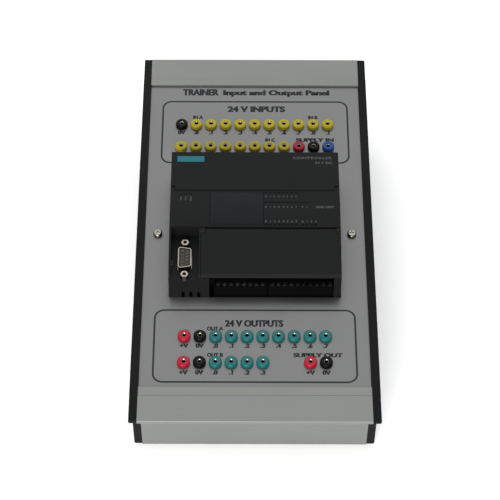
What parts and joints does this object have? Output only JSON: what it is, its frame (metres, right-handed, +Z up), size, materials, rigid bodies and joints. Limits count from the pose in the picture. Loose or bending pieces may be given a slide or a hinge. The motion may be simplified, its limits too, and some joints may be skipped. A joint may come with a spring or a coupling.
{
  "type": "plc training module",
  "caption": "Bench-top controller trainer: a compact programmable controller set into an aluminium case with rows of 2 mm test sockets above and below it.",
  "frame": {"origin": "on the table, under the middle of the case", "axes": "+X to the user's right, +Y away from the user along the case, +Z up"},
  "size_m": [0.155, 0.297, 0.0954],
  "materials": {
    "aluminium": "fine brushed, clear anodised",
    "panel_print": "matt printed grey",
    "black_case": "black moulded",
    "steel": "bright zinc plated",
    "nickel": "nickel plated",
    "brass": "turned",
    "rubber": "matt black",
    "controller_plastic": "fine spark-eroded texture, anthracite",
    "cover_plastic": "smoother anthracite",
    "terminal_plastic": "deep black",
    "name_plate": "teal, blank",
    "light_guide": "smoked clear guide",
    "yellow": "yellow moulded",
    "black": "black moulded",
    "red": "red moulded",
    "blue": "blue moulded",
    "teal": "teal moulded",
    "board": "green solder mask",
    "component": "black moulded packages",
    "wire": "insulated hook-up wire",
    "earth": "green and yellow wire"
  },
  "bodies": {
    "case": {"base_plate": "aluminium", "black_socket_bushes": "black", "blue_socket_bushes": "blue", "board_capacitors": "component", "board_chips": "component", "board_connector": "component", "board_pillars": "nickel", "earth_wire": "earth", "expansion_cover": "cover_plastic", "face_panel": "panel_print", "front_extrusion": "aluminium", "front_housing": "controller_plastic", "input_wires": "wire", "io_circuit_board": "board", "left_side_plate": "black_case", "light_guides": "light_guide", "lower_terminal_plug_left": "terminal_plastic", "lower_terminal_plug_right": "terminal_plastic", "lower_terminal_screws": "steel", "main_circuit_board": "board", "mounting_rail": "steel", "network_jack": "component", "output_wires": "wire", "panel_screws": "nickel", "rail_hangers": "brass", "rail_screws": "steel", "rail_washers": "steel", "rear_extrusion": "aluminium", "rear_housing": "controller_plastic", "red_socket_bushes": "red", "right_side_plate": "black_case", "rubber_feet": "rubber", "serial_jack_screws": "nickel", "serial_port_insulator": "component", "serial_port_shell": "nickel", "side_plate_screws": "steel", "socket_contacts": "nickel", "socket_nuts": "nickel", "teal_socket_bushes": "teal", "upper_terminal_plug_left": "terminal_plastic", "upper_terminal_plug_right": "terminal_plastic", "upper_terminal_screws": "steel", "yellow_socket_bushes": "yellow"},
    "upper_door": {"upper_terminal_door": "controller_plastic", "name_plate": "name_plate"},
    "lower_door": {"lower_terminal_door": "controller_plastic"},
    "rail_latch": {"rail_latch": "controller_plastic"}
  },
  "joints": [
    {"name": "upper_door_hinge", "type": "hinge", "parent": "case", "child": "upper_door", "pos_m": [0, 0.0135, 0.0911], "axis": [1, 0, 0], "range_deg": [0, 95]},
    {"name": "lower_door_hinge", "type": "hinge", "parent": "case", "child": "lower_door", "pos_m": [0, -0.0195, 0.09079], "axis": [-1, 0, 0], "range_deg": [0, 95]},
    {"name": "rail_latch_slide", "type": "slide", "parent": "case", "child": "rail_latch", "axis": [0, -1, 0], "range_m": [0, 0.004]}
  ]
}
